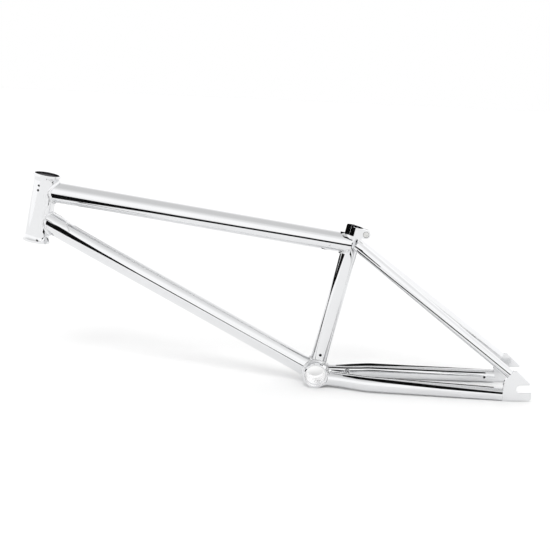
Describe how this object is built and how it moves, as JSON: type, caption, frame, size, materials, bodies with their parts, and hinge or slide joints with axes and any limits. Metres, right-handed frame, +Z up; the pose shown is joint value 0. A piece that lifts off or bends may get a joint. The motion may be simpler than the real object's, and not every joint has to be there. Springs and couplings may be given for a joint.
{
  "type": "bmx bike frame",
  "caption": "Bare chrome BMX frame: head tube, twin triangles of round steel tube, press-in crank shell, split seat clamp with pinch bolt, rear axle dropouts.",
  "frame": {"origin": "centre of the bottom bracket shell", "axes": "+X to the rear wheel, +Y to the rider's right along the crank axis, +Z up with the rear axle line level"},
  "size_m": [0.8493, 0.1322, 0.4333],
  "materials": {
    "chrome_plated_steel": "polished chrome plating",
    "bolt_steel": "bright plated steel"
  },
  "bodies": {
    "frame": {"head_tube": "chrome_plated_steel", "top_tube": "chrome_plated_steel", "down_tube": "chrome_plated_steel", "down_tube_gusset": "chrome_plated_steel", "seat_tube": "chrome_plated_steel", "seat_clamp": "chrome_plated_steel", "bottom_bracket_shell": "chrome_plated_steel", "chainstay_left": "chrome_plated_steel", "chainstay_right": "chrome_plated_steel", "chainstay_bridge": "chrome_plated_steel", "seatstay_left": "chrome_plated_steel", "seatstay_right": "chrome_plated_steel", "seatstay_top_cap_left": "chrome_plated_steel", "seatstay_top_cap_right": "chrome_plated_steel", "seatstay_end_cap_left": "chrome_plated_steel", "seatstay_end_cap_right": "chrome_plated_steel", "chainstay_end_cap_left": "chrome_plated_steel", "chainstay_end_cap_right": "chrome_plated_steel", "dropout_left": "chrome_plated_steel", "dropout_right": "chrome_plated_steel"},
    "pinch_bolt": {"seat_clamp_bolt": "bolt_steel"}
  },
  "joints": [
    {"name": "pinch_bolt_turn", "type": "hinge", "parent": "frame", "child": "pinch_bolt", "pos_m": [0.09966, 0, 0.23639], "axis": [0, -1, 0], "range_deg": [0, 720]}
  ]
}
